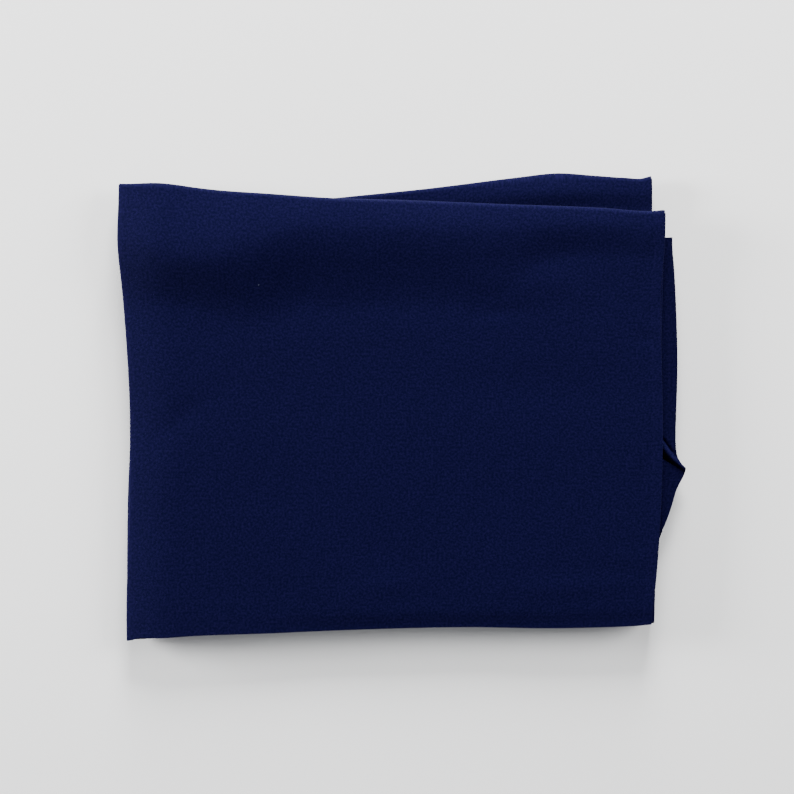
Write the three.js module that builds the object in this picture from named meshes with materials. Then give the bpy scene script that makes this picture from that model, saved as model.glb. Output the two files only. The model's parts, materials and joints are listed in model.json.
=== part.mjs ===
// A cut length of plain dress cloth, folded for the shelf. The cloth is folded in half twice across its
// width, which makes a strip of four plies, and the strip is then fan-folded into five leaves that open
// at the creases between them.
//
// Millimetres, +Z up. X runs across the strip, with both selvedges at the +X side. Y runs along it, with
// creases 1 and 3 at the front (-Y) and creases 2 and 4 at the back (+Y). The origin is on the surface
// that the cloth rests on, under the middle of its outline.

import * as THREE from 'three';

// The cloth
const CLOTH_WIDTH = 1500; // from selvedge to selvedge, opened out
const CLOTH_THICKNESS = 0.5;
const CLOTH_COLOUR = 0x0f1a48;
const CLOTH_ROUGHNESS = 0.92;

// The folding
const STRIP_WIDTH = CLOTH_WIDTH / 4; // a quarter, after two foldings in half
const LEAF_LENGTH = 300; // between the creases of the fan, before they step out of line
const PLY_GAP = 0.3; // air between the plies of a leaf
const LEAF_GAP = 0.5; // air between two leaves
const END_GAP = 0.3; // between the end of a leaf and the bend that carries on from it
const SELVEDGE_SETBACKS = [2.2, 0.8]; // how far the third and fourth plies stop short of the side bend

// How finely the bends and the leaves' sides are divided
const BEND_STEPS = 2; // per quarter turn of a ply
const FOLD_STEPS = 6;
const LEAF_STEPS = 6;

// The cuts and creases across the strip, in their order along the cloth. Each lies at the front or the
// back of the stack. `left` and `right` are how far its two ends have crept, as [x, y], from the corners
// of a true stack of STRIP_WIDTH by LEAF_LENGTH.
const FRONT = -1;
const BACK = 1;
const EDGES = [
  { side: BACK, left: [9.4, -38], right: [7.1, -31.7] }, // cut end of the bottom leaf
  { side: FRONT, left: [5.9, -3], right: [-6.1, 5.2] }, // crease 1
  { side: BACK, left: [4.6, -14], right: [-6.3, 7.5] }, // crease 2
  { side: FRONT, left: [4.7, -7.5], right: [-5.5, 0.7] }, // crease 3
  { side: BACK, left: [-0.8, 1.9], right: [1.4, -17.5] }, // crease 4
  { side: FRONT, left: [4.6, -9], right: [-5.4, -0.8] }, // cut end of the top leaf
];

// How far the sides of each leaf bow towards +X at its middle, from the bottom leaf up
const SIDE_BOWS = [
  { left: 2, right: 9 },
  { left: 3, right: 0 },
  { left: 3, right: 0 },
  { left: 4, right: 0 },
  { left: 3.6, right: 0 },
];

const PLY_PITCH = CLOTH_THICKNESS + PLY_GAP;
const LEAF_THICKNESS = 3 * PLY_PITCH + CLOTH_THICKNESS;
const LEAF_PITCH = LEAF_THICKNESS + LEAF_GAP;

// The section across a strip of four plies, as one ribbon that bends back on itself. It starts at the
// selvedge of the top ply, wraps round the left side to the bottom ply, turns back at the right side
// into the second ply, and turns inside the wrap into the third, which ends at the other selvedge.
function stripSection() {
  const half = CLOTH_THICKNESS / 2;
  const [ply1, ply2, ply3, ply4] = [0, 1, 2, 3].map((ply) => half + ply * PLY_PITCH);
  const middle = (ply1 + ply4) / 2;
  const wrapRadius = (ply4 - ply1) / 2;
  const turnRadius = PLY_PITCH / 2;
  const wrapX = wrapRadius + half;
  const turnX = STRIP_WIDTH - turnRadius - half;
  const turnMiddle = (ply1 + ply2) / 2;
  const [end3, end4] = SELVEDGE_SETBACKS.map((setback) => STRIP_WIDTH - setback);
  const [down, up] = [-Math.PI / 2, Math.PI / 2];

  const section = new THREE.Shape();
  section.moveTo(end4, ply4 + half);
  section.absarc(wrapX, middle, wrapRadius + half, up, -up, false);
  section.absarc(turnX, turnMiddle, turnRadius + half, down, up, false);
  section.absarc(wrapX, middle, turnRadius - half, -up, up, true);
  section.lineTo(end3, ply3 - half);
  section.lineTo(end3, ply3 + half);
  section.absarc(wrapX, middle, turnRadius + half, up, -up, false);
  section.absarc(turnX, turnMiddle, turnRadius - half, up, down, true);
  section.absarc(wrapX, middle, wrapRadius - half, -up, up, true);
  section.lineTo(end4, ply4 - half);
  section.closePath();
  return section;
}

// A cut or crease in plan: its two ends, the direction from left to right, and the outward normal
function edgeLine({ side, left, right }) {
  const end = (hand, [creepX, creepY]) =>
    new THREE.Vector2((hand * STRIP_WIDTH) / 2 + creepX, (side * LEAF_LENGTH) / 2 + creepY);
  const from = end(-1, left);
  const to = end(1, right);
  const along = to.clone().sub(from).normalize();
  const outward = new THREE.Vector2(-along.y, along.x).multiplyScalar(side);
  return { from, to, outward };
}

const LINES = EDGES.map(edgeLine);

// A point of an edge, at a share of the strip's width and a distance outwards from the edge
function onEdge(line, share, outwards) {
  const point = line.from.clone().lerp(line.to, share);
  return point.addScaledVector(line.outward, outwards);
}

// The height of a point of the section in a leaf. Each crease turns the strip over, so in every second
// leaf the section lies upside down.
function heightInLeaf(leaf, sectionHeight) {
  const turnedOver = leaf % 2 === 1;
  return leaf * LEAF_PITCH + (turnedOver ? LEAF_THICKNESS - sectionHeight : sectionHeight);
}

// Sweeps the section along the cloth. `place` gives the point for a share of the strip's width, a height
// in the section and a share of the way along.
function sweepStrip(steps, place) {
  const settings = { depth: 1, steps, bevelEnabled: false, curveSegments: BEND_STEPS };
  const geometry = new THREE.ExtrudeGeometry(stripSection(), settings);
  const points = geometry.getAttribute('position');
  for (let i = 0; i < points.count; i += 1) {
    const point = place(points.getX(i) / STRIP_WIDTH, points.getY(i), points.getZ(i));
    points.setXYZ(i, point.x, point.y, point.z);
  }
  geometry.computeVertexNormals();
  return geometry;
}

// One leaf, between the edge where the cloth comes in and the edge where it goes out
function leafGeometry(leaf) {
  const start = LINES[leaf];
  const finish = LINES[leaf + 1];
  const bows = SIDE_BOWS[leaf];
  return sweepStrip(LEAF_STEPS, (share, sectionHeight, along) => {
    const back = onEdge(start, share, -END_GAP);
    const front = onEdge(finish, share, -END_GAP);
    const point = back.lerp(front, along);
    const bow = THREE.MathUtils.lerp(bows.left, bows.right, share) * Math.sin(Math.PI * along);
    return new THREE.Vector3(point.x + bow, point.y, heightInLeaf(leaf, sectionHeight));
  });
}

// The half turn of the strip at a crease, round the line midway between the two leaves that it joins
function foldGeometry(crease) {
  const below = crease - 1;
  const pivotHeight = below * LEAF_PITCH + LEAF_THICKNESS + LEAF_GAP / 2;
  return sweepStrip(FOLD_STEPS, (share, sectionHeight, along) => {
    const radius = pivotHeight - heightInLeaf(below, sectionHeight);
    const turn = Math.PI * along;
    const point = onEdge(LINES[crease], share, radius * Math.sin(turn));
    return new THREE.Vector3(point.x, point.y, pivotHeight - radius * Math.cos(turn));
  });
}

function clothMesh(name, geometry) {
  const material = new THREE.MeshStandardMaterial({
    color: CLOTH_COLOUR,
    roughness: CLOTH_ROUGHNESS,
    metalness: 0,
  });
  const mesh = new THREE.Mesh(geometry, material);
  mesh.name = name;
  return mesh;
}

const foldedCloth = new THREE.Group();
foldedCloth.name = 'folded_cloth';
for (let leaf = 0; leaf < SIDE_BOWS.length; leaf += 1) {
  foldedCloth.add(clothMesh(`leaf_${leaf + 1}`, leafGeometry(leaf)));
}
for (let crease = 1; crease < SIDE_BOWS.length; crease += 1) {
  foldedCloth.add(clothMesh(`fold_${crease}`, foldGeometry(crease)));
}

// The origin goes under the middle of the stack's outline
const outline = new THREE.Box3().setFromObject(foldedCloth, true);
const middle = outline.getCenter(new THREE.Vector3());
foldedCloth.position.set(-middle.x, -middle.y, -outline.min.z);
foldedCloth.updateMatrixWorld(true);

export default foldedCloth;
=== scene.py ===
"""A cut length of navy dress cloth, folded in four across its width and fan-folded into five leaves.

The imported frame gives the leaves, the creases between them and the joints that they turn on. Each leaf
and each bend at a crease is a sheet of cloth, four plies deep, that takes the place of its plain solid.
"""

import json
import logging
import math
from dataclasses import dataclass
from enum import Enum
from typing import Any, ClassVar, Sequence

import bmesh
import bpy
import numpy as np
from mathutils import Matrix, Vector


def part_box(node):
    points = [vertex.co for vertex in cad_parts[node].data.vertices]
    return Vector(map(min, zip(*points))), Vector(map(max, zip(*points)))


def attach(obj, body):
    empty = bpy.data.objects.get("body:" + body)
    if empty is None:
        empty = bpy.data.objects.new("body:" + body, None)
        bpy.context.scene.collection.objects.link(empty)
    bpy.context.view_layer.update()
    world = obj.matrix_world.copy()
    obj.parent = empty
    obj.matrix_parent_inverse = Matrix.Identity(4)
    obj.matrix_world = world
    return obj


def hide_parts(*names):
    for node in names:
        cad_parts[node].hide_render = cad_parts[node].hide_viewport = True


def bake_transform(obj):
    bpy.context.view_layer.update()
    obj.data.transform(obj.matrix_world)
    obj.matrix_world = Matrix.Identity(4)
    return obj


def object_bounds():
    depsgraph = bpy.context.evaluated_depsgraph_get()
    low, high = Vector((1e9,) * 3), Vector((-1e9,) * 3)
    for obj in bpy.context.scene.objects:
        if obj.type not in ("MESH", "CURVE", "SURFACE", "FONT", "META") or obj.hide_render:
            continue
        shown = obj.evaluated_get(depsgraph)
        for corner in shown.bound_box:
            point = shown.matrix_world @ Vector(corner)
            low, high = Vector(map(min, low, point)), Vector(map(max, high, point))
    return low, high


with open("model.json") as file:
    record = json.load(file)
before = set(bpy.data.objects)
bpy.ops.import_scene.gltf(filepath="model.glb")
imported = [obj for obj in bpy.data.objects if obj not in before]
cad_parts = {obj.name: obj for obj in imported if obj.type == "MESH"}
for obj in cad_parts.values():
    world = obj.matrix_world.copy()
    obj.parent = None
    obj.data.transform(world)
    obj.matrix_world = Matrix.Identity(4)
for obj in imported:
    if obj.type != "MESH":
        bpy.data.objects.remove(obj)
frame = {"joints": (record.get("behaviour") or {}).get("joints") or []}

CAD_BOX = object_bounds()
MM = 0.001

log = logging.getLogger("folded_cloth")


# ---------------------------------------------------------------------------------------------
# Small tools
# ---------------------------------------------------------------------------------------------


def smooth_step(value: np.ndarray | float) -> np.ndarray:
    """Eases a value from 0 to 1 with level ends, and holds it outside them."""
    t = np.clip(value, 0.0, 1.0)
    return t * t * (3.0 - 2.0 * t)


def fade_out(value: np.ndarray, span: tuple[float, float]) -> np.ndarray:
    """Eases from 1 at the start of a span to 0 at its end, and holds it outside them."""
    start, end = span
    return smooth_step((end - value) / (end - start))


@dataclass(frozen=True)
class Profile:
    """A smooth curve through a few chosen points, level beyond its ends.

    Attributes:
        points: Pairs of place and value, in order of place, in millimetres.
    """

    points: tuple[tuple[float, float], ...]

    def at(self, place: np.ndarray) -> np.ndarray:
        """Reads the curve.

        Args:
            place: Places along the curve, in metres.

        Returns:
            The curve's values there, in metres.
        """
        xs, ys = (np.array(column) * MM for column in zip(*self.points))
        slopes = np.gradient(ys, xs)
        slopes[[0, -1]] = 0.0
        x = np.clip(place, xs[0], xs[-1])
        i = np.clip(np.searchsorted(xs, x) - 1, 0, len(xs) - 2)
        span = xs[i + 1] - xs[i]
        t = (x - xs[i]) / span
        return (
            (2 * t**3 - 3 * t**2 + 1) * ys[i]
            + (t**3 - 2 * t**2 + t) * span * slopes[i]
            + (3 * t**2 - 2 * t**3) * ys[i + 1]
            + (t**3 - t**2) * span * slopes[i + 1]
        )


class Waves:
    """Slow, seeded waves over a plane, for the unevenness of a hand-folded cloth."""

    SHORTEST_SHARE = 0.35

    def __init__(self, seed: int, longest: float, count: int = 9) -> None:
        """Draws the waves.

        Args:
            seed: What the waves are drawn from.
            longest: The longest wavelength, in metres.
            count: How many waves are added up.
        """
        draw = np.random.default_rng(seed)
        lengths = longest * draw.uniform(self.SHORTEST_SHARE, 1.0, count)
        turns = draw.uniform(0.0, 2 * math.pi, count)
        self.steps = 2 * math.pi / lengths * np.stack([np.cos(turns), np.sin(turns)])
        self.starts = draw.uniform(0.0, 2 * math.pi, count)
        self.weight = math.sqrt(2.0 / count)

    def at(self, x: np.ndarray, y: np.ndarray) -> np.ndarray:
        """Returns the waves' height at each point, about 1 at most."""
        total = np.zeros(np.broadcast(x, y).shape)
        for step_x, step_y, start in zip(*self.steps, self.starts):
            total = total + np.sin(step_x * x + step_y * y + start)
        return total * self.weight / 2.0


# ---------------------------------------------------------------------------------------------
# The cloth's section and the lines across it
# ---------------------------------------------------------------------------------------------


@dataclass(frozen=True)
class Cloth:
    """The cloth itself, in metres.

    Attributes:
        width: From selvedge to selvedge, opened out.
        leaf_length: From crease to crease, on average.
        thickness: Of one ply.
        ply_gap: Air between two plies of a leaf.
        leaf_gap: Air between two leaves.
        selvedge_setbacks: How far the third and fourth plies stop short of the side bend.
    """

    width: float = 1.5
    leaf_length: float = 300 * MM
    thickness: float = 0.5 * MM
    ply_gap: float = 0.3 * MM
    leaf_gap: float = 0.5 * MM
    selvedge_setbacks: tuple[float, float] = (2.2 * MM, 0.8 * MM)

    @property
    def strip_width(self) -> float:
        """Width of the strip after two foldings in half."""
        return self.width / 4

    @property
    def pitch(self) -> float:
        """From the middle of one ply to the middle of the next."""
        return self.thickness + self.ply_gap

    @property
    def leaf_thickness(self) -> float:
        """Of four plies with the air between them."""
        return 3 * self.pitch + self.thickness

    @property
    def leaf_pitch(self) -> float:
        """From the underside of one leaf to the underside of the next."""
        return self.leaf_thickness + self.leaf_gap

    def ply_height(self, ply: int) -> float:
        """Height of the middle of a ply above the underside of its leaf, the lowest being 0."""
        return self.thickness / 2 + ply * self.pitch


class StripSection:
    """The line that the cloth follows across a strip of four plies, from one selvedge to the other.

    It starts at the selvedge of the top ply, wraps round the left side to the bottom ply, turns back
    at the right side into the second ply, and turns inside the wrap into the third.
    """

    FINE_ZONE = 22 * MM

    def __init__(self, cloth: Cloth, spacings: Sequence[float], fine: float, bend_steps: int) -> None:
        """Walks the line and notes its points.

        Args:
            cloth: The cloth that is folded.
            spacings: Between two points along each ply, the lowest first.
            fine: Between two points next to the selvedges.
            bend_steps: Steps round each half turn.
        """
        self.cloth = cloth
        self.bend_steps = bend_steps
        bottom, second, third, top = (cloth.ply_height(ply) for ply in range(4))
        wrap = (top - bottom) / 2
        turn = cloth.pitch / 2
        wrap_x = wrap + cloth.thickness / 2
        turn_x = cloth.strip_width - turn - cloth.thickness / 2
        end_third, end_top = (cloth.strip_width - gap for gap in cloth.selvedge_setbacks)

        near_end = cloth.strip_width - self.FINE_ZONE
        self._points: list[tuple[float, float]] = [(end_top, top)]
        self._walk_to(near_end, top, fine)
        self._walk_to(wrap_x, top, spacings[3])
        self._bend(wrap_x, bottom, -wrap)
        self._walk_to(turn_x, bottom, spacings[0])
        self._bend(turn_x, second, turn)
        self._walk_to(wrap_x, second, spacings[1])
        self._bend(wrap_x, third, -turn)
        self._walk_to(near_end, third, spacings[2])
        self._walk_to(end_third, third, fine)
        line = np.array(self._points)
        steps = np.hypot(*np.diff(line, axis=0).T)
        self.x = line[:, 0]
        self.height = line[:, 1]
        self.across = np.concatenate([[0.0], np.cumsum(steps)])

    @property
    def flat_width(self) -> float:
        """The section's length, which is the width of the cloth laid flat."""
        return float(self.across[-1])

    def _walk_to(self, x: float, height: float, spacing: float) -> None:
        """Adds points along a ply up to x, about as far apart as the spacing."""
        from_x = self._points[-1][0]
        count = max(2, round(abs(x - from_x) / spacing))
        for step in range(1, count + 1):
            self._points.append((from_x + (x - from_x) * step / count, height))

    def _bend(self, x: float, to_height: float, bulge: float) -> None:
        """Adds a half turn to another ply's height, which swells sideways by bulge."""
        from_height = self._points[-1][1]
        middle = (from_height + to_height) / 2
        for step in range(1, self.bend_steps + 1):
            angle = math.pi * step / self.bend_steps
            height = middle + (from_height - middle) * math.cos(angle)
            self._points.append((x + bulge * math.sin(angle), height))


class Side(Enum):
    """The side of the stack that a crease or cut is at, as the way out of the stack along Y."""

    FRONT = -1
    BACK = 1


@dataclass(frozen=True)
class CrossLine:
    """A crease or cut across the strip, seen from above.

    Attributes:
        left: Its left end, x and y.
        right: Its right end, x and y.
        side: Where it is on the stack.
    """

    left: tuple[float, float]
    right: tuple[float, float]
    side: Side

    @classmethod
    def of_crease(cls, joint: dict, fold: str) -> "CrossLine":
        """Reads a crease from its joint and from the box of the bend that crosses it.

        Args:
            joint: The frame's hinge.
            fold: The name of the bend's node.

        Returns:
            The crease's line.
        """
        low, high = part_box(fold)
        (x, y, _), axis = joint["pos_m"], joint["axis"]
        slope = axis[1] / axis[0]
        side = Side.FRONT if axis[0] > 0 else Side.BACK
        ends = [(end, y + slope * (end - x)) for end in (low.x, high.x)]
        return cls(ends[0], ends[1], side)

    @property
    def outward(self) -> np.ndarray:
        """The direction out of the stack, square to the line."""
        along = np.subtract(self.right, self.left)
        along = along / np.hypot(*along)
        return self.side.value * np.array([-along[1], along[0]])

    def at(self, share: np.ndarray) -> tuple[np.ndarray, np.ndarray]:
        """Returns x and y at a share of the way from the left end to the right."""
        x, y = (a + (b - a) * share for a, b in zip(self.left, self.right))
        return x, y


@dataclass(frozen=True)
class CutEnd:
    """A cut end of the cloth, by how far its ends are set in from the box of its leaf.

    Attributes:
        leaf: The name of the leaf's node.
        side: Where the cut is on the stack.
        left: Of its left end, along X and Y, in millimetres.
        right: Of its right end, along X and Y, in millimetres.
    """

    leaf: str
    side: Side
    left: tuple[float, float]
    right: tuple[float, float]

    def line(self) -> CrossLine:
        """Returns the cut's line."""
        low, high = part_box(self.leaf)
        edge = high.y if self.side is Side.BACK else low.y
        inward = -self.side.value * MM
        left = (low.x + self.left[0] * MM, edge + self.left[1] * inward)
        right = (high.x - self.right[0] * MM, edge + self.right[1] * inward)
        return CrossLine(left, right, self.side)


# ---------------------------------------------------------------------------------------------
# How the leaves lie
# ---------------------------------------------------------------------------------------------


@dataclass(frozen=True)
class PuffedCrease:
    """The rise of a leaf behind the crease that it hangs from, as profiles along X.

    Attributes:
        seam_lift: Height where the leaf meets the bend.
        crest: Height of the crest.
        crest_back: From the bend to the crest.
        fall: From the crest down to the trough.
        trough: Height of the trough.
        recovery: From the trough back to the flat of the leaf, in metres.
    """

    ROUNDNESS: ClassVar[float] = 1.6

    seam_lift: Profile
    crest: Profile
    crest_back: Profile
    fall: Profile
    trough: Profile
    recovery: float = 45 * MM

    def at(self, x: np.ndarray, inwards: np.ndarray) -> np.ndarray:
        """Returns the lift at each x and distance in from the bend."""
        lift, crest, trough = (p.at(x) for p in (self.seam_lift, self.crest, self.trough))
        back, fall = self.crest_back.at(x), self.fall.at(x)
        climb = 1.0 - (1.0 - np.clip(inwards / back, 0.0, 1.0)) ** self.ROUNDNESS
        rising = lift + (crest - lift) * climb
        falling = crest + (trough - crest) * smooth_step((inwards - back) / fall)
        past = smooth_step((inwards - back - fall) / self.recovery)
        return np.where(inwards < back, rising, falling * (1.0 - past))


@dataclass(frozen=True)
class Swell:
    """A low mound in a leaf, or with a negative height a shallow dip.

    Attributes:
        place: Its middle, x and y, in millimetres.
        reach: How far it spreads along its own two directions, in millimetres.
        height: Its height, in millimetres.
        turn: How far its first direction is turned from +X, in degrees.
    """

    place: tuple[float, float]
    reach: tuple[float, float]
    height: float
    turn: float = 0.0

    def at(self, x: np.ndarray, y: np.ndarray) -> np.ndarray:
        """Returns the mound's height at each point, in metres."""
        cos, sin = math.cos(math.radians(self.turn)), math.sin(math.radians(self.turn))
        dx, dy = x - self.place[0] * MM, y - self.place[1] * MM
        along = (dx * cos + dy * sin) / (self.reach[0] * MM)
        beside = (dy * cos - dx * sin) / (self.reach[1] * MM)
        return self.height * MM * np.exp(-(along**2 + beside**2))


LEVEL = Profile(((0, 0), (1, 0)))


@dataclass(frozen=True)
class LeafForm:
    """How one leaf departs from a flat, straight-sided one.

    Attributes:
        left: How far its left side stands towards +X, along Y.
        right: How far its right side stands towards +X, along Y.
        base: How far the whole leaf stands off the one below, besides the usual gap, in millimetres.
        puff: Its rise behind the crease where the cloth comes in, if it has one.
        swells: Its mounds and dips.
    """

    left: Profile = LEVEL
    right: Profile = LEVEL
    base: float = 0.0
    puff: PuffedCrease | None = None
    swells: tuple[Swell, ...] = ()


@dataclass(frozen=True)
class CreaseForm:
    """How one crease or cut departs from a straight line, as profiles along X.

    Attributes:
        tuck: How far the leaves' ends stand out past the line, mostly negative.
        swelling: How much further the bend reaches than a round one, less than 0 where it is blunter.
    """

    tuck: Profile = LEVEL
    swelling: Profile = LEVEL


TOP_LEAF = LeafForm(
    left=Profile(
        ((-155, 0), (-105, 1.6), (-80, 2.8), (19, 4.5), (52, 3.0), (86, 0.8), (110, -0.9), (150, 0))
    ),
    right=Profile(
        (
            (-147, -2.2), (-130, -0.8), (-114, 0.4), (-90, 1.6), (-15, 2.1),
            (40, -0.2), (80, -1.5), (100, -0.3), (119, 0.4),
        )
    ),
    base=0.8,
    puff=PuffedCrease(
        seam_lift=Profile(
            ((-190, 1.2), (-137, 0.6), (-102, 2.4), (-67, 2.6), (-33, 2.2), (0, 1.2), (71, 0.6), (184, 0.5))
        ),
        crest=Profile(
            (
                (-190, 4.2), (-165, 5.6), (-137, 6.9), (-102, 7.4), (-67, 6.7), (-33, 5.6),
                (0, 5.0), (36, 4.6), (71, 3.5), (106, 2.4), (140, 1.9), (184, 1.2),
            )
        ),
        crest_back=Profile(
            (
                (-190, 36), (-165, 40), (-137, 43), (-102, 33), (-67, 21),
                (-33, 20), (0, 19), (71, 17), (106, 12), (184, 9),
            )
        ),
        fall=Profile(
            (
                (-190, 46), (-137, 41), (-102, 58), (-67, 58), (0, 50),
                (71, 46), (106, 24), (140, 22), (184, 24),
            )
        ),
        trough=LEVEL,
    ),
    swells=(
        Swell((90, 86), (34, 12), 0.9),
        Swell((71, 66), (18, 5), -0.4),
        Swell((2, 68), (42, 8), -0.35),
        Swell((-148, -6), (26, 8), -0.5, 35),
        Swell((85, 14), (60, 16), -0.6),
        Swell((-6, -122), (22, 7), 0.5, 8),
        Swell((120, -124), (42, 7), 0.55, 2),
        Swell((158, -104), (14, 5), 0.4, -10),
        Swell((-120, -60), (45, 60), 0.5, 10),
        Swell((173, 47), (8, 3.0), -0.6, -8),
    ),
)

BACK_LEAF = LeafForm(
    left=Profile(((-120, 0), (0, 3.0), (100, 0))),
    puff=PuffedCrease(
        seam_lift=Profile(((0, 0), (50, 0.2), (110, 0.4), (150, 0.3), (178, 0.2))),
        crest=Profile(((0, 0), (50, 0.8), (110, 1.6), (150, 1.2), (178, 0.8))),
        crest_back=Profile(((0, 6), (110, 8), (178, 8))),
        fall=Profile(((0, 12), (110, 12), (178, 12))),
        trough=LEVEL,
    ),
)

SECOND_LEAF = LeafForm(left=Profile(((-120, 0), (0, 3.0), (100, 0))))

FOURTH_LEAF = LeafForm(left=Profile(((-120, 0), (0, 4.4), (60, 3.0), (120, 0))))

BOTTOM_LEAF = LeafForm(
    left=Profile(((-120, 0), (0, 2.0), (90, 0))),
    right=Profile(
        (
            (-112, 0), (-89, 3.2), (-81, 6.0), (-72, 9.0), (-64, 10.9), (-56, 11.6),
            (-22, 10.4), (36, 8.9), (64, 6.8), (94, 3.9), (118, 1.3),
        )
    ),
)

STRAIGHT = CreaseForm()
BACK_CREASE = CreaseForm(
    tuck=Profile(((-60, -2.5), (-20, -1.2), (10, 0), (158, 0), (168, -1.2), (177, 0.2))),
    swelling=Profile(((0, 0), (21, 0.2), (60, 1.2), (85, 2.1), (110, 3.2), (137, 0.9), (156, 0))),
)
FRONT_CREASE = CreaseForm(
    tuck=Profile(
        ((-186, 0.3), (-164, -0.4), (-115, -1.4), (-8, -2.1), (60, -1.6), (103, -0.7), (176, -1.4))
    ),
    swelling=Profile(
        ((-186, 0), (-164, -0.2), (-115, -1.8), (-8, -1.8), (60, -1.8), (103, -1.6), (176, -1.8))
    ),
)
TOP_CREASE = CreaseForm(
    tuck=Profile(
        (
            (-150, 0), (-124, -1.4), (-85, -2.2), (-47, -2.9), (2, -1.7),
            (71, -0.9), (140, 0), (176, -0.3), (184, 0.7),
        )
    ),
    swelling=Profile(((-190, 0), (-165, 1.5), (-138, 0))),
)
TOP_CUT_FORM = CreaseForm(
    tuck=Profile(
        (
            (-188, 2.6), (-184, 2.2), (-180, 0.9), (-164, 0.8), (-144, -0.2), (-85, -1.0),
            (-37, -1.9), (55, -1.9), (103, -0.1), (142, 0.1), (168, -0.4), (177, -1.0),
        )
    ),
)


@dataclass(frozen=True)
class Pucker:
    """A pleat pinched into the bottom leaf's selvedges: a groove, a ridge and a deep pocket.

    Attributes:
        root: Where the ridge comes out from under the stack, in millimetres.
        tip: Where it ends, on the selvedge, in millimetres.
        ridge: Height of the ridge, and its half width at the tip, in millimetres.
        groove: Depth, half width and distance behind the ridge of the groove, in millimetres.
        pocket_depth: How far the cloth falls away on the front side, in millimetres.
        pocket_width: Across that hollow at the root, in millimetres; it narrows to nothing at the tip.
        spread: How much wider the ridge is at the root than at the tip, as a share of its width there.
        bow: How far the ridge bows towards the front between its ends, in millimetres.
        reach: How far the tip pulls the selvedge out, in millimetres.
        pull_behind: How far that pull carries towards the back, in millimetres.
        pull_before: How far it carries towards the front, in millimetres.
    """

    FADE_IN: ClassVar[float] = 0.5
    RIDGE_END: ClassVar[tuple[float, float]] = (0.9, 1.3)
    GROOVE_END: ClassVar[tuple[float, float]] = (0.1, 1.0)
    POCKET_END: ClassVar[tuple[float, float]] = (0.55, 1.05)
    POCKET_WALL: ClassVar[tuple[float, float]] = (0.55, 1.15)
    POCKET_LIMITS: ClassVar[tuple[float, float]] = (0.05, 1.2)
    POCKET_TAPER: ClassVar[float] = 1.2

    root: tuple[float, float] = (183.2, -25.2)
    tip: tuple[float, float] = (198.0, -41.6)
    ridge: tuple[float, float] = (1.7, 1.35)
    groove: tuple[float, float, float] = (1.2, 0.9, 2.5)
    pocket_depth: float = 5.2
    pocket_width: float = 5.8
    spread: float = 0.55
    bow: float = 1.1
    reach: float = 7.0
    pull_behind: float = 5.0
    pull_before: float = 12.0

    def lift(self, x: np.ndarray, y: np.ndarray) -> np.ndarray:
        """Returns the height that the pucker adds at each point, in metres.

        The run goes from 0 at the root to 1 at the tip. Each part fades in before the root and out round
        the tip, so nothing of the pucker ends in a step.

        Args:
            x: Where the points are.
            y: Where the points are.

        Returns:
            The height at each point.
        """
        root, tip = np.array(self.root), np.array(self.tip)
        along = tip - root
        length = np.hypot(*along)
        along = along / length
        run = ((x / MM - root[0]) * along[0] + (y / MM - root[1]) * along[1]) / length
        beside = (x / MM - root[0]) * -along[1] + (y / MM - root[1]) * along[0]
        beside = beside + self.bow * np.sin(math.pi * np.clip(run, 0.0, 1.0))
        started = smooth_step((run + self.FADE_IN) / self.FADE_IN)

        ridge_height, tip_half = self.ridge
        ridge_half = tip_half * (1.0 + self.spread * np.clip(1.0 - run, 0.0, 1.0))
        ridge_middle = tip_half - ridge_half
        across_ridge = (beside - ridge_middle) / ridge_half
        ridge = ridge_height * np.exp(-(across_ridge**2)) * fade_out(run, self.RIDGE_END)

        depth, groove_half, behind = self.groove
        across_groove = (beside - behind) / groove_half
        groove = depth * np.exp(-(across_groove**2)) * fade_out(run, self.GROOVE_END)

        left_to_run = np.clip(1.0 - run, *self.POCKET_LIMITS)
        pocket_half = 0.5 * self.pocket_width * left_to_run**self.POCKET_TAPER
        pocket_middle = ridge_middle - ridge_half - pocket_half
        inside = fade_out(np.abs(beside - pocket_middle) / pocket_half, self.POCKET_WALL)
        pocket = self.pocket_depth * inside * fade_out(run, self.POCKET_END)
        return (ridge - groove - pocket) * started * MM

    def pull(self, y: np.ndarray) -> np.ndarray:
        """Returns how far the selvedge is drawn out at each y, in metres."""
        past = y - self.tip[1] * MM
        behind = np.exp(-np.clip(past, 0, None) / (self.pull_behind * MM))
        before = np.exp(-((np.clip(-past, 0, None) / (self.pull_before * MM)) ** 2))
        return self.reach * MM * np.minimum(behind, before)


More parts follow.
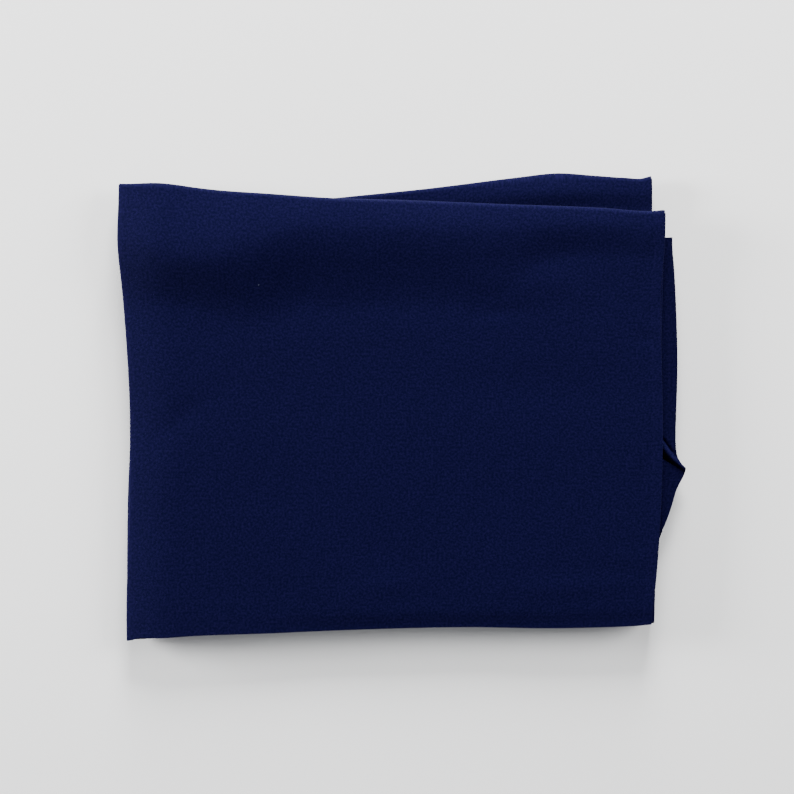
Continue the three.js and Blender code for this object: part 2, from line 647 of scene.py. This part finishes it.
class FoldedStack:
    """Where every point of the folded cloth lies.

    The cloth's path runs leaf by leaf from the cut end of the bottom leaf to that of the top leaf.
    """

    LEAVES = 5
    UPPER_FRONT_LINE = 3
    BOTTOM_CUT = CutEnd("leaf_1", Side.BACK, left=(3.5, 6.3), right=(3.4, 0.0))
    TOP_CUT = CutEnd("leaf_5", Side.FRONT, left=(5.4, 0.0), right=(6.8, 8.2))
    FRONT_PRESS = Profile(((-190, 0.2), (-100, 0.3), (-50, 1.0), (180, 1.0)))
    FRONT_PRESS_REACH = 10 * MM
    SIDE_DROOP = 4.8 * MM
    SIDE_DROOP_REACH = 34 * MM
    STRIP_RISE = 6.0 * MM
    STRIP_RISE_START = 1.3 * MM
    STRIP_RISE_REACH = 4 * MM
    WAVE_HEIGHT = 0.28 * MM
    WAVE_LENGTH = 170 * MM
    RIPPLE_HEIGHT = 0.07 * MM
    RIPPLE_LENGTH = 34 * MM
    SIDE_WANDER = 0.7 * MM
    SIDE_WAVE_LENGTH = 120 * MM
    PULLED_SHARE = 0.93
    SLOPE_STEP = 1.0 * MM

    def __init__(self, cloth: Cloth, joints: Sequence[dict]) -> None:
        """Reads the creases from the frame and sets the cut ends and the forms.

        Args:
            cloth: The cloth that is folded.
            joints: The frame's hinges, from the bottom crease up.
        """
        self.cloth = cloth
        creases = [CrossLine.of_crease(j, f"fold_{i}") for i, j in enumerate(joints, 1)]
        self.lines = [self.BOTTOM_CUT.line(), *creases, self.TOP_CUT.line()]
        self.line_forms = [STRAIGHT, STRAIGHT, BACK_CREASE, FRONT_CREASE, TOP_CREASE, TOP_CUT_FORM]
        self.leaf_forms = [BOTTOM_LEAF, SECOND_LEAF, BACK_LEAF, FOURTH_LEAF, TOP_LEAF]
        self.top = (self.LEAVES - 1) * cloth.leaf_pitch + cloth.leaf_thickness
        self.waves = Waves(11, self.WAVE_LENGTH)
        self.ripples = Waves(12, self.RIPPLE_LENGTH, count=14)
        self.side_waves = Waves(13, self.SIDE_WAVE_LENGTH)
        self.pucker = Pucker()

    def end_line(self, line: int, share: np.ndarray) -> tuple[np.ndarray, np.ndarray]:
        """Returns x and y of a crease or cut, with its tuck, at a share of the strip's width."""
        x, y = self.lines[line].at(share)
        tuck = self.line_forms[line].tuck.at(x)
        out = self.lines[line].outward
        return x + out[0] * tuck, y + out[1] * tuck

    def height_in_leaf(self, leaf: int, height: np.ndarray) -> np.ndarray:
        """Returns the height above the floor of a point of the section, in a flat leaf."""
        turned_over = leaf % 2 == 1
        inside = self.cloth.leaf_thickness - height if turned_over else height
        return leaf * self.cloth.leaf_pitch + inside

    def lift(self, leaf: int, x: np.ndarray, y: np.ndarray, z: np.ndarray, share: np.ndarray) -> np.ndarray:
        """Returns how far a leaf's point stands above its place in a flat stack.

        Args:
            leaf: The leaf, the bottom one being 0.
            x: Where the point is.
            y: Where the point is.
            z: Its height in a flat stack.
            share: Its share of the strip's width, from the left.

        Returns:
            The lift, in metres.
        """
        level = z / self.top
        form = self.leaf_forms[leaf]
        total = level * (self.WAVE_HEIGHT * self.waves.at(x, y) + self.RIPPLE_HEIGHT * self.ripples.at(x, y))
        _, front = self.end_line(self.UPPER_FRONT_LINE, share)
        near_front = 1.0 - smooth_step((y - front) / self.FRONT_PRESS_REACH)
        total = total - self.FRONT_PRESS.at(x) * level**3 * near_front + form.base * MM
        if form.puff:
            _, seam = self.end_line(leaf, share)
            total = total + form.puff.at(x, seam - y)
        for swell in form.swells:
            total = total + swell.at(x, y)
        from_left = share * self.cloth.strip_width
        near_left = (1.0 - np.clip(from_left / self.SIDE_DROOP_REACH, 0, 1)) ** 2
        total = total - self.SIDE_DROOP * level * near_left
        if leaf == 0:
            total = total + self._strip_lift(x, y, z)
        return total

    def _strip_lift(self, x: np.ndarray, y: np.ndarray, z: np.ndarray) -> np.ndarray:
        """Returns how far the bottom leaf's selvedges rise where they come out beside the stack."""
        stack_side = self.lines[1].right[0] + self.STRIP_RISE_START
        out = smooth_step((x - stack_side) / self.STRIP_RISE_REACH)
        upper = smooth_step(z / self.cloth.leaf_thickness)
        return out * upper * (self.STRIP_RISE + self.pucker.lift(x, y))

    def leaf_points(self, leaf: int, share: np.ndarray, height: np.ndarray, along: np.ndarray) -> np.ndarray:
        """Places points of one leaf.

        Args:
            leaf: The leaf, the bottom one being 0.
            share: Shares of the strip's width, from the left.
            height: Heights in the section.
            along: Shares of the way along the leaf, from where the cloth comes in.

        Returns:
            The points, with x, y and z along the last axis.
        """
        start_x, start_y = self.end_line(leaf, share)
        finish_x, finish_y = self.end_line(leaf + 1, share)
        y = start_y + (finish_y - start_y) * along
        form = self.leaf_forms[leaf]
        left, right = form.left.at(y), form.right.at(y)
        x = start_x + (finish_x - start_x) * along + left + (right - left) * share
        z = self.height_in_leaf(leaf, height)
        if leaf == 0:
            upper = smooth_step(z / self.cloth.leaf_thickness)
            pulled = smooth_step((share - self.PULLED_SHARE) / (1.0 - self.PULLED_SHARE))
            x = x + self.pucker.pull(y) * upper * pulled
        if leaf < self.LEAVES - 1:
            x = x + self.side_waves.at(0 * y + leaf, y) * self.SIDE_WANDER * (1.0 - share)
        z = z + self.lift(leaf, x, y, z, share)
        return np.stack(np.broadcast_arrays(x, y, z), -1)

    def bend_points(
        self, crease: int, share: np.ndarray, height: np.ndarray, turn: np.ndarray
    ) -> np.ndarray:
        """Places points of the bend at a crease, which carries on smoothly from both its leaves.

        Args:
            crease: The crease, from 1.
            share: Shares of the strip's width, from the left.
            height: Heights in the section.
            turn: Shares of the way round the bend, from the lower leaf to the upper one.

        Returns:
            The points, with x, y and z along the last axis.
        """
        lower, upper = crease - 1, crease
        one = np.ones_like(share)
        step = self.SLOPE_STEP / self.cloth.leaf_length
        start = self.leaf_points(lower, share, height, one)
        start_in = self.leaf_points(lower, share, height, one - step)
        finish = self.leaf_points(upper, share, height, 0 * one)
        finish_in = self.leaf_points(upper, share, height, 0 * one + step)
        flat_rise = self.height_in_leaf(upper, height) - self.height_in_leaf(lower, height)
        widest = 2 * self.cloth.leaf_thickness + self.cloth.leaf_gap - self.cloth.thickness
        swelling = self.line_forms[crease].swelling.at(start[..., 0]) * flat_rise / widest
        handle = 4 / 3 * (flat_rise / 2 + swelling)[..., None]
        leaving = self._outward_tangent(start, start_in) * handle
        arriving = self._outward_tangent(finish, finish_in) * handle
        t = turn[..., None]
        return (
            (1 - t) ** 3 * start
            + 3 * (1 - t) ** 2 * t * (start + leaving)
            + 3 * (1 - t) * t**2 * (finish + arriving)
            + t**3 * finish
        )

    def _outward_tangent(self, end: np.ndarray, inside: np.ndarray) -> np.ndarray:
        """Returns the direction in which a leaf runs out over its end, one unit long in plan."""
        away = end - inside
        return away / np.hypot(away[..., 0], away[..., 1])[..., None]


# ---------------------------------------------------------------------------------------------
# Sheets
# ---------------------------------------------------------------------------------------------


@dataclass(frozen=True)
class SheetPlan:
    """Where a sheet's points lie, in rows across the cloth.

    Attributes:
        name: The sheet's name.
        node: The plain solid that it takes the place of.
        points: Its points, indexed by row, column and axis.
        opened: The same points on the opened cloth, across and along, indexed likewise.
        fold_highlight: How much painted highlight each point gets along the fold edges, from 0 to 1, indexed
            by row and column.
    """

    name: str
    node: str
    points: np.ndarray
    opened: np.ndarray
    fold_highlight: np.ndarray

    @property
    def flat_area(self) -> float:
        """Area of the cloth that the sheet is made of, in square metres."""
        spans = self.opened[-1, -1] - self.opened[0, 0]
        return float(abs(spans[0] * spans[1]))

    @property
    def end(self) -> float:
        """How far along the opened cloth the sheet ends, in metres."""
        return float(self.opened[-1, -1, 1])


class SheetMaker:
    """Makes sheets of cloth with their real thickness."""

    PLAN_MAP = "plan"
    # Name of the attribute that carries the painted highlight along the fold edges.
    FOLD_HIGHLIGHT = "fold_highlight"
    RIM_ANGLE = math.radians(42)

    def __init__(self, thickness: float, material: bpy.types.Material) -> None:
        """Sets what every sheet has in common.

        Args:
            thickness: Of the cloth.
            material: Its finish.
        """
        self.thickness = thickness
        self.material = material

    def make(self, plan: SheetPlan) -> bpy.types.Object:
        """Makes the sheet, with its plan as a UV map in metres and its painted fold-edge highlight as an
        attribute.
        """
        obj = self._surface(plan)
        solid = obj.modifiers.new("thickness", "SOLIDIFY")
        solid.thickness = self.thickness
        solid.offset = 0.0
        solid.use_rim = True
        depsgraph = bpy.context.evaluated_depsgraph_get()
        thick = bpy.data.meshes.new_from_object(obj.evaluated_get(depsgraph), depsgraph=depsgraph)
        obj.modifiers.clear()
        obj.data = thick
        thick.set_sharp_from_angle(angle=self.RIM_ANGLE)
        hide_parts(plan.node)
        return obj

    def _surface(self, plan: SheetPlan) -> bpy.types.Object:
        """Makes the sheet's middle surface from a grid, one vertex to each point."""
        rows, columns = plan.fold_highlight.shape
        work = bmesh.new()
        bmesh.ops.create_grid(work, x_segments=columns - 1, y_segments=rows - 1, size=0.5)
        fold_highlight = work.verts.layers.float.new(self.FOLD_HIGHLIGHT)
        uv = work.loops.layers.uv.new(self.PLAN_MAP)
        place: dict[int, tuple[int, int]] = {}
        for vert in work.verts:
            column = round((vert.co.x + 0.5) * (columns - 1))
            row = round((vert.co.y + 0.5) * (rows - 1))
            place[vert.index] = (row, column)
            vert.co = plan.points[row, column]
            vert[fold_highlight] = plan.fold_highlight[row, column]
        for face in work.faces:
            face.smooth = True
            for loop in face.loops:
                loop[uv].uv = plan.opened[place[loop.vert.index]]
        mesh = bpy.data.meshes.new(plan.name)
        work.to_mesh(mesh)
        work.free()
        mesh.materials.append(self.material)
        obj = bpy.data.objects.new(plan.name, mesh)
        bpy.context.scene.collection.objects.link(obj)
        return obj


@dataclass(frozen=True)
class MeshDensity:
    """How closely the sheets' points lie, in metres where not said otherwise.

    Attributes:
        plies: Between points along each ply, the lowest first.
        selvedge: Between points next to the selvedges.
        rows: Between rows along a leaf.
        fine_rows: Between rows where a leaf is most shaped.
        pucker_rows: Between rows across the pucker in the bottom leaf.
        side_steps: Steps round each side bend.
        crease_steps: Steps round each bend at a crease.
    """

    plies: tuple[float, float, float, float] = (4.5 * MM, 9 * MM, 9 * MM, 3.4 * MM)
    selvedge: float = 0.8 * MM
    rows: float = 4.2 * MM
    fine_rows: float = 1.8 * MM
    pucker_rows: float = 0.8 * MM
    side_steps: int = 10
    crease_steps: int = 12


class FoldedCloth:
    """The cloth: five leaves and the four bends that join them."""

    BODIES = ("bottom_leaf", "second_leaf", "third_leaf", "fourth_leaf", "top_leaf")
    FINE_SPANS = {0: (0.49, 0.68), 2: (0.0, 0.08), 4: (0.0, 0.27)}
    SHORT_ROW = 0.3 * MM
    SHORT_TURN = 0.02
    # Width of the painted highlight along the outside of each side bend.
    HIGHLIGHT_WIDTH = 1.2 * MM
    LEAST_SHEET = 10.1 * MM

    def __init__(self, cloth: Cloth, section: StripSection, density: MeshDensity, maker: SheetMaker) -> None:
        """Sets up the stack.

        Args:
            cloth: The cloth that is folded.
            section: The line that it follows across the strip.
            density: How closely the points lie.
            maker: What makes the sheets.
        """
        self.cloth = cloth
        self.section = section
        self.density = density
        self.maker = maker
        self.stack = FoldedStack(cloth, frame["joints"])
        self.share = self.section.x / cloth.strip_width
        self.side_highlight = self._side_highlight()

    def build(self) -> list[SheetPlan]:
        """Makes every sheet, and hands each leaf's sheet to its body; the bends' sheets stay unparented.

        Returns:
            The sheets' plans, in the order that the cloth runs.
        """
        plans = [self._build_leaf(0, self.BODIES[0], 0.0)]
        for upper, body in enumerate(self.BODIES[1:], 1):
            plans.append(self._build_bend(upper, plans[-1].end))
            plans.append(self._build_leaf(upper, body, plans[-1].end))
        return plans

    def _side_highlight(self) -> np.ndarray:
        """Returns how much painted highlight each column gets, which is at the bends at the strip's two
        sides.
        """
        section, cloth = self.section, self.cloth
        left, right = section.x.min(), section.x.max()
        from_left = section.x - left
        between_pairs = (cloth.ply_height(1) + cloth.ply_height(2)) / 2
        from_right = np.where(section.height < between_pairs, right - section.x, cloth.width)
        near = np.minimum(from_left, from_right)
        # Painted highlight, strongest at the outermost curve of each side bend.
        return np.exp(-((near / self.HIGHLIGHT_WIDTH) ** 2))

    def _row_shares(self, leaf: int) -> np.ndarray:
        """Returns the rows of a leaf, as shares of the way along it."""
        length = self.cloth.leaf_length
        start, finish = self.FINE_SPANS.get(leaf, (0.0, 0.0))
        breaks = [0.0, start, finish, 1.0]
        fine = self.density.fine_rows if leaf else self.density.pucker_rows
        spacings = [self.density.rows, fine, self.density.rows]
        rows = [0.0, 1.0, self.SHORT_ROW / length, 1.0 - self.SHORT_ROW / length]
        for low, high, spacing in zip(breaks, breaks[1:], spacings):
            if high > low:
                count = max(1, round((high - low) * length / spacing))
                rows.extend(np.linspace(low, high, count + 1))
        shares = np.unique(np.round(rows, 6))
        keep = np.concatenate([[True], np.diff(shares) > 0.2 * self.SHORT_ROW / length])
        return shares[keep]

    def _build_leaf(self, leaf: int, body: str, travelled: float) -> SheetPlan:
        """Makes one leaf's sheet, which rides on its body.

        Args:
            leaf: The leaf, the bottom one being 0.
            body: The body's name.
            travelled: How far along the cloth it starts.

        Returns:
            Its plan.
        """
        rows = self._row_shares(leaf)
        share, along = np.meshgrid(self.share, rows)
        height = np.broadcast_to(self.section.height, share.shape)
        points = self.stack.leaf_points(leaf, share, height, along)
        ends = np.diff(points[[0, -1]], axis=0)[0]
        length = float(np.hypot(ends[:, 0], ends[:, 1]).mean())
        opened = self._opened(share, travelled + along * length)
        # The leaf gets the painted highlight only at its side bends.
        fold_highlight = np.broadcast_to(self.side_highlight, share.shape)
        plan = SheetPlan(f"cloth_leaf_{leaf + 1}", f"leaf_{leaf + 1}", points, opened, fold_highlight)
        sheet = self.maker.make(plan)
        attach(sheet, body)
        return plan

    def _build_bend(self, crease: int, travelled: float) -> SheetPlan:
        """Makes the sheet that turns from one leaf into the next.

        Args:
            crease: The crease, from 1.
            travelled: How far along the cloth it starts.

        Returns:
            Its plan.
        """
        steps = self.density.crease_steps
        ends = [self.SHORT_TURN, 1 - self.SHORT_TURN]
        turns = np.unique(np.concatenate([np.linspace(0, 1, steps + 1), ends]))
        share, turn = np.meshgrid(self.share, turns)
        height = np.broadcast_to(self.section.height, share.shape)
        points = self.stack.bend_points(crease, share, height, turn)
        steps_round = np.linalg.norm(np.diff(points, axis=0), axis=-1)
        length = float(steps_round.sum(axis=0).mean())
        opened = self._opened(share, travelled + turn * length)
        # Painted highlight, strongest along the crest of the bend and added to that at the side bends.
        fold_highlight = np.maximum(self.side_highlight, np.sin(math.pi * turn) ** 2)
        plan = SheetPlan(f"cloth_fold_{crease}", f"fold_{crease}", points, opened, fold_highlight)
        sheet = self.maker.make(plan)
        pivot = Vector(frame["joints"][crease - 1]["pos_m"])
        reach = Vector((0.0, 0.0, self.cloth.leaf_pitch - self.cloth.thickness / 2))
        self.BODIES[crease - 1]
        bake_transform(sheet)
        return plan

    def _opened(self, share: np.ndarray, along: np.ndarray) -> np.ndarray:
        """Returns the points' places on the opened cloth."""
        across = np.broadcast_to(self.section.across, share.shape)
        return np.stack([across, along], -1)


# ---------------------------------------------------------------------------------------------
# Finish
# ---------------------------------------------------------------------------------------------


@dataclass(frozen=True)
class ClothFinish:
    """A matt woven cloth.

    Attributes:
        colour: Of the hollows of the weave, linear.
        glint: Of the thread's crowns, where the weave catches light, linear.
        crown_share: How much of the surface the crowns take up, on average.
        lint: Colour of the lint that lies on it, linear.
        lint_apart: Between two specks of lint, on average, in metres.
        lint_size: Reach of a speck, and of its faint edge, as shares of that distance.
        lint_cover: How much of the cloth's colour a speck hides.
        grain_size: Of the uneven grain, in metres.
        grain_contrast: How much the grain changes the colour, as a share of it.
        slub_size: Of the slower unevenness, in metres.
        slub_contrast: How much that changes the colour, as a share of it.
        bump_height: Of the grain, in metres.
        roughness: Of the thread, on average.
        roughness_range: How much the slower unevenness changes it.
        gloss: How strongly the thread mirrors light.
        sheen: How much the fibres' ends catch light that grazes them.
        sheen_roughness: How widely they scatter it.
        sheen_colour: Of that light, linear.
        selvedge_width: Of the dense band along each edge, in metres.
        selvedge_gain: How much lighter that band is, as a share of the colour.
        selvedge_line: How much lighter its inner edge is, as a share of the colour.
        fold_highlight_gain: How much lighter the painted highlight makes the fold edges, as a share of the
            colour.
    """

    colour: tuple[float, float, float] = (0.0000, 0.0000, 0.0116)
    glint: tuple[float, float, float] = (0.0029, 0.0018, 0.0230)
    crown_share: float = 0.39
    lint: tuple[float, float, float] = (0.06, 0.07, 0.11)
    lint_apart: float = 38 * MM
    lint_size: tuple[float, float] = (0.008, 0.016)
    lint_cover: float = 0.6
    grain_size: float = 1.1 * MM
    grain_contrast: float = 1.5
    slub_size: float = 4.5 * MM
    slub_contrast: float = 0.14
    bump_height: float = 0.10 * MM
    roughness: float = 0.88
    roughness_range: float = 0.1
    gloss: float = 0.03
    sheen: float = 0.02
    sheen_roughness: float = 0.55
    sheen_colour: tuple[float, float, float] = (0.45, 0.55, 1.0)
    selvedge_width: float = 6 * MM
    selvedge_gain: float = 0.06
    selvedge_line: float = 0.16
    fold_highlight_gain: float = 0.35


NAVY_CREPE = ClothFinish()


class Wire:
    """A shader value that can be calculated with."""

    def __init__(self, tree: "ShaderTree", socket: bpy.types.NodeSocket) -> None:
        """Wraps a socket.

        Args:
            tree: The tree that it belongs to.
            socket: An output of one of its nodes.
        """
        self.tree = tree
        self.socket = socket

    def _math(self, operation: str, *values: Any) -> "Wire":
        """Adds a math node for an operation on this and other values."""
        sockets = dict(enumerate(values))
        return self.tree.node("ShaderNodeMath", {"operation": operation}, sockets).out("Value")

    def __add__(self, other: "Wire | float") -> "Wire":
        """Adds another value."""
        return self._math("ADD", self, other)

    def __radd__(self, other: float) -> "Wire":
        """Adds this to a number."""
        return self._math("ADD", other, self)

    def __sub__(self, other: "Wire | float") -> "Wire":
        """Takes another value away."""
        return self._math("SUBTRACT", self, other)

    def __rsub__(self, other: float) -> "Wire":
        """Takes this away from a number."""
        return self._math("SUBTRACT", other, self)

    def __mul__(self, other: "Wire | float") -> "Wire":
        """Multiplies by another value."""
        return self._math("MULTIPLY", self, other)

    def __rmul__(self, other: float) -> "Wire":
        """Multiplies a number by this."""
        return self._math("MULTIPLY", other, self)

    def lower_of(self, other: "Wire | float") -> "Wire":
        """Returns the lower of this and another value."""
        return self._math("MINIMUM", self, other)

    def ramp(self, from_value: float, to_value: float) -> "Wire":
        """Returns a value that eases from 0 at from_value to 1 at to_value."""
        sockets = {"Value": self, "From Min": from_value, "From Max": to_value}
        settings = {"interpolation_type": "SMOOTHSTEP", "clamp": True}
        return self.tree.node("ShaderNodeMapRange", settings, sockets).out("Result")


class AddedNode:
    """A node in a tree, whose outputs come as wires."""

    def __init__(self, tree: "ShaderTree", node: bpy.types.Node) -> None:
        """Wraps a node.

        Args:
            tree: The tree that it belongs to.
            node: The node.
        """
        self.tree = tree
        self.node = node

    def out(self, name: str | int) -> Wire:
        """Returns one of the node's outputs, by name or number."""
        return Wire(self.tree, self.node.outputs[name])


class ShaderTree:
    """A material's nodes."""

    def __init__(self, name: str) -> None:
        """Starts an empty material.

        Args:
            name: The material's name.
        """
        self.material = bpy.data.materials.new(name)
        self.material.use_nodes = True
        self.tree = self.material.node_tree
        self.tree.nodes.clear()

    def node(self, kind: str, settings: dict[str, Any], sockets: dict[Any, Any]) -> AddedNode:
        """Adds a node.

        Args:
            kind: Its type.
            settings: Its own properties.
            sockets: Values or wires for its inputs, by name or number.

        Returns:
            The node.
        """
        made = self.tree.nodes.new(kind)
        for key, value in settings.items():
            setattr(made, key, value)
        for key, value in sockets.items():
            if isinstance(value, Wire):
                self.tree.links.new(value.socket, made.inputs[key])
            else:
                made.inputs[key].default_value = value
        return AddedNode(self, made)

    def finish_with(self, surface: Wire) -> bpy.types.Material:
        """Links the surface to the output and returns the material."""
        self.node("ShaderNodeOutputMaterial", {}, {"Surface": surface})
        return self.material


class CrepeWeave:
    """The cloth's material, which follows the opened cloth through its plan in metres.

    A noise at a scale of 1 has bumps about NOISE_PITCH across, and NOISE_STRETCH spreads its values, which
    keep near their middle. A colour mix is wired by number, because its sockets share their names.
    """

    NOISE_PITCH = 0.7
    NOISE_STRETCH = 2.2
    MIX_FACTOR, MIX_FROM, MIX_TO, MIX_RESULT = 0, 6, 7, 2
    BAND_END = (0.85, 1.0)
    LINE_START = (0.8, 1.0)
    LINE_END = (1.0, 1.2)

    def __init__(self, finish: ClothFinish, cloth_width: float) -> None:
        """Starts the material.

        Args:
            finish: How the cloth looks.
            cloth_width: From selvedge to selvedge.
        """
        self.finish = finish
        self.cloth_width = cloth_width
        self.tree = ShaderTree("navy_crepe")
        self.plan = self.tree.node("ShaderNodeUVMap", {"uv_map": SheetMaker.PLAN_MAP}, {}).out("UV")

    def material(self) -> bpy.types.Material:
        """Adds the weave, the selvedges, the painted highlight along the fold edges and the lint, and
        returns the material.
        """
        finish = self.finish
        grain = self._noise(finish.grain_size, 2.0, 0.6)
        slub = self._noise(finish.slub_size, 1.0, 0.5)
        # Painted highlight along the fold edges, read from the sheets' attribute.
        fold_highlight = self.tree.node("ShaderNodeAttribute", {"attribute_name": SheetMaker.FOLD_HIGHLIGHT}, {}).out("Fac")
        gain = slub * (self.NOISE_STRETCH * finish.slub_contrast) + self._selvedge_gain()
        crown = finish.crown_share + grain * (self.NOISE_STRETCH * finish.grain_contrast) + gain
        # The painted highlight mixes the fold edges further towards the lighter glint colour.
        cloth = self._mix(crown + fold_highlight * finish.fold_highlight_gain, finish.colour + (1.0,), finish.glint)
        colour = self._mix(self._lint() * finish.lint_cover, cloth, finish.lint)
        relief = {"Strength": 1.0, "Distance": finish.bump_height, "Height": grain}
        surface = {
            "Base Color": colour,
            "Roughness": finish.roughness + slub * finish.roughness_range,
            "Specular IOR Level": finish.gloss,
            "Sheen Weight": finish.sheen,
            "Sheen Roughness": finish.sheen_roughness,
            "Sheen Tint": finish.sheen_colour + (1.0,),
            "Normal": self.tree.node("ShaderNodeBump", {}, relief).out("Normal"),
        }
        return self.tree.finish_with(self.tree.node("ShaderNodeBsdfPrincipled", {}, surface).out("BSDF"))

    def _noise(self, size: float, detail: float, roughness: float) -> Wire:
        """Adds an unevenness, with 0 as its middle.

        Args:
            size: Of its bumps, in metres.
            detail: How many finer layers it has.
            roughness: How strong each finer layer is.

        Returns:
            Its value, mostly between -0.25 and 0.25.
        """
        sockets = {
            "Vector": self.plan,
            "Scale": self.NOISE_PITCH / size,
            "Detail": detail,
            "Roughness": roughness,
        }
        return self.tree.node("ShaderNodeTexNoise", {}, sockets).out("Fac") - 0.5

    def _mix(self, factor: Wire, first: Wire | tuple, second: tuple[float, float, float]) -> Wire:
        """Mixes two colours.

        Args:
            factor: How much of the second there is.
            first: A colour with its alpha, or a wire.
            second: A plain colour.

        Returns:
            The mixed colour.
        """
        settings = {"data_type": "RGBA", "clamp_factor": True}
        sockets = {self.MIX_FACTOR: factor, self.MIX_FROM: first, self.MIX_TO: second + (1.0,)}
        return self.tree.node("ShaderNodeMix", settings, sockets).out(self.MIX_RESULT)

    def _selvedge_gain(self) -> Wire:
        """Returns how much lighter the selvedge bands and their inner lines are."""
        finish = self.finish
        across = self.tree.node("ShaderNodeSeparateXYZ", {}, {"Vector": self.plan}).out("X")
        edge = across.lower_of(self.cloth_width - across)
        past_band, in_line, past_line = (
            edge.ramp(finish.selvedge_width * start, finish.selvedge_width * end)
            for start, end in (self.BAND_END, self.LINE_START, self.LINE_END)
        )
        band = (1.0 - past_band) * finish.selvedge_gain
        return band + in_line * (1.0 - past_line) * finish.selvedge_line

    def _lint(self) -> Wire:
        """Returns 1 on a speck of lint and 0 off it."""
        cells = {"Vector": self.plan, "Scale": 1 / self.finish.lint_apart, "Randomness": 1.0}
        far = self.tree.node("ShaderNodeTexVoronoi", {"feature": "F1"}, cells).out("Distance")
        return 1.0 - far.ramp(*self.finish.lint_size)


def plain_material(name: str, colour: tuple[float, float, float], roughness: float) -> bpy.types.Material:
    """Makes a material of one colour.

    Args:
        name: The material's name.
        colour: Its colour, linear.
        roughness: How matt it is.

    Returns:
        The material.
    """
    tree = ShaderTree(name)
    sockets = {"Base Color": colour + (1.0,), "Roughness": roughness}
    return tree.finish_with(tree.node("ShaderNodeBsdfPrincipled", {}, sockets).out("BSDF"))


# ---------------------------------------------------------------------------------------------
# Stage
# ---------------------------------------------------------------------------------------------


@dataclass(frozen=True)
class Lamp:
    """A square soft light that looks at the cloth.

    Attributes:
        name: The lamp's name.
        azimuth: Where it stands, in degrees clockwise from the back of the stack, seen from above.
        elevation: Above the floor, in degrees.
        distance: From the cloth, in metres.
        size: Of its side, in metres.
        power: In watts.
    """

    name: str
    azimuth: float
    elevation: float
    distance: float
    size: float
    power: float

    def light(self) -> None:
        """Adds the lamp."""
        data = bpy.data.lights.new(self.name, "AREA")
        data.shape = "SQUARE"
        data.size = self.size
        data.energy = self.power
        lamp = bpy.data.objects.new(self.name, data)
        azimuth, elevation = math.radians(self.azimuth), math.radians(self.elevation)
        flat = math.cos(elevation)
        away = Vector((math.sin(azimuth) * flat, math.cos(azimuth) * flat, math.sin(elevation)))
        lamp.location = away * self.distance
        lamp.rotation_euler = away.to_track_quat("Z", "Y").to_euler()
        bpy.context.scene.collection.objects.link(lamp)


LAMPS = (
    Lamp("window", azimuth=3, elevation=17, distance=2.4, size=0.9, power=205),
    Lamp("left_wall", azimuth=-78, elevation=11, distance=2.2, size=0.8, power=182),
    Lamp("right_wall", azimuth=72, elevation=24, distance=2.6, size=1.2, power=90),
    Lamp("ceiling", azimuth=160, elevation=80, distance=2.6, size=2.4, power=4),
)


class Studio:
    """The pale floor, the light and the camera."""

    FLOOR_SIDE = 60.0
    FLOOR_COLOUR = (0.90, 0.90, 0.90)
    AMBIENT = (0.92, 0.95, 1.0)
    AMBIENT_STRENGTH = 0.26
    FLOOR_ROUGHNESS = 0.8
    CAMERA_PLACE = (-0.70 * MM, 7.54 * MM)
    CAMERA_ABOVE = 1.2
    CAMERA_SEES_TO = 50.0
    LENS = 79.0
    SENSOR = 36.0

    def build(self) -> None:
        """Adds everything that isn't the cloth."""
        self._add_floor()
        for lamp in LAMPS:
            lamp.light()
        self._add_ambient()
        self._add_camera()

    def _add_floor(self) -> None:
        """Adds the floor, at the height that the cloth lies on."""
        work = bmesh.new()
        bmesh.ops.create_grid(work, x_segments=1, y_segments=1, size=self.FLOOR_SIDE / 2)
        mesh = bpy.data.meshes.new("floor")
        work.to_mesh(mesh)
        work.free()
        mesh.materials.append(plain_material("pale_floor", self.FLOOR_COLOUR, self.FLOOR_ROUGHNESS))
        floor = bpy.data.objects.new("floor", mesh)
        bpy.context.scene.collection.objects.link(floor)

    def _add_ambient(self) -> None:
        """Lights the scene evenly from all round."""
        world = bpy.data.worlds.new("soft_room")
        world.use_nodes = True
        background = world.node_tree.nodes["Background"]
        background.inputs["Color"].default_value = self.AMBIENT + (1.0,)
        background.inputs["Strength"].default_value = self.AMBIENT_STRENGTH
        bpy.context.scene.world = world

    def _add_camera(self) -> None:
        """Adds the camera, which looks straight down with the back of the stack at the top."""
        data = bpy.data.cameras.new("camera")
        data.sensor_width = self.SENSOR
        data.lens = self.LENS
        data.clip_end = self.CAMERA_SEES_TO
        camera = bpy.data.objects.new("camera", data)
        camera.location = (*self.CAMERA_PLACE, CAD_BOX[1][2] + self.CAMERA_ABOVE)
        bpy.context.scene.collection.objects.link(camera)
        bpy.context.scene.camera = camera


def main() -> None:
    """Builds the studio and the cloth, and reports each sheet."""
    logging.basicConfig(level=logging.INFO, format="%(name)s: %(message)s")
    Studio().build()
    cloth, density = Cloth(), MeshDensity()
    section = StripSection(cloth, density.plies, density.selvedge, density.side_steps)
    maker = SheetMaker(cloth.thickness, CrepeWeave(NAVY_CREPE, section.flat_width).material())
    plans = FoldedCloth(cloth, section, density, maker).build()
    for plan in plans:
        rows, columns = plan.fold_highlight.shape
        log.info("%s: %d rows of %d points, %.4f m2 of cloth", plan.name, rows, columns, plan.flat_area)
    log.info("the opened cloth is %.3f m by %.3f m", section.flat_width, plans[-1].end)


if __name__ == "__main__":
    main()
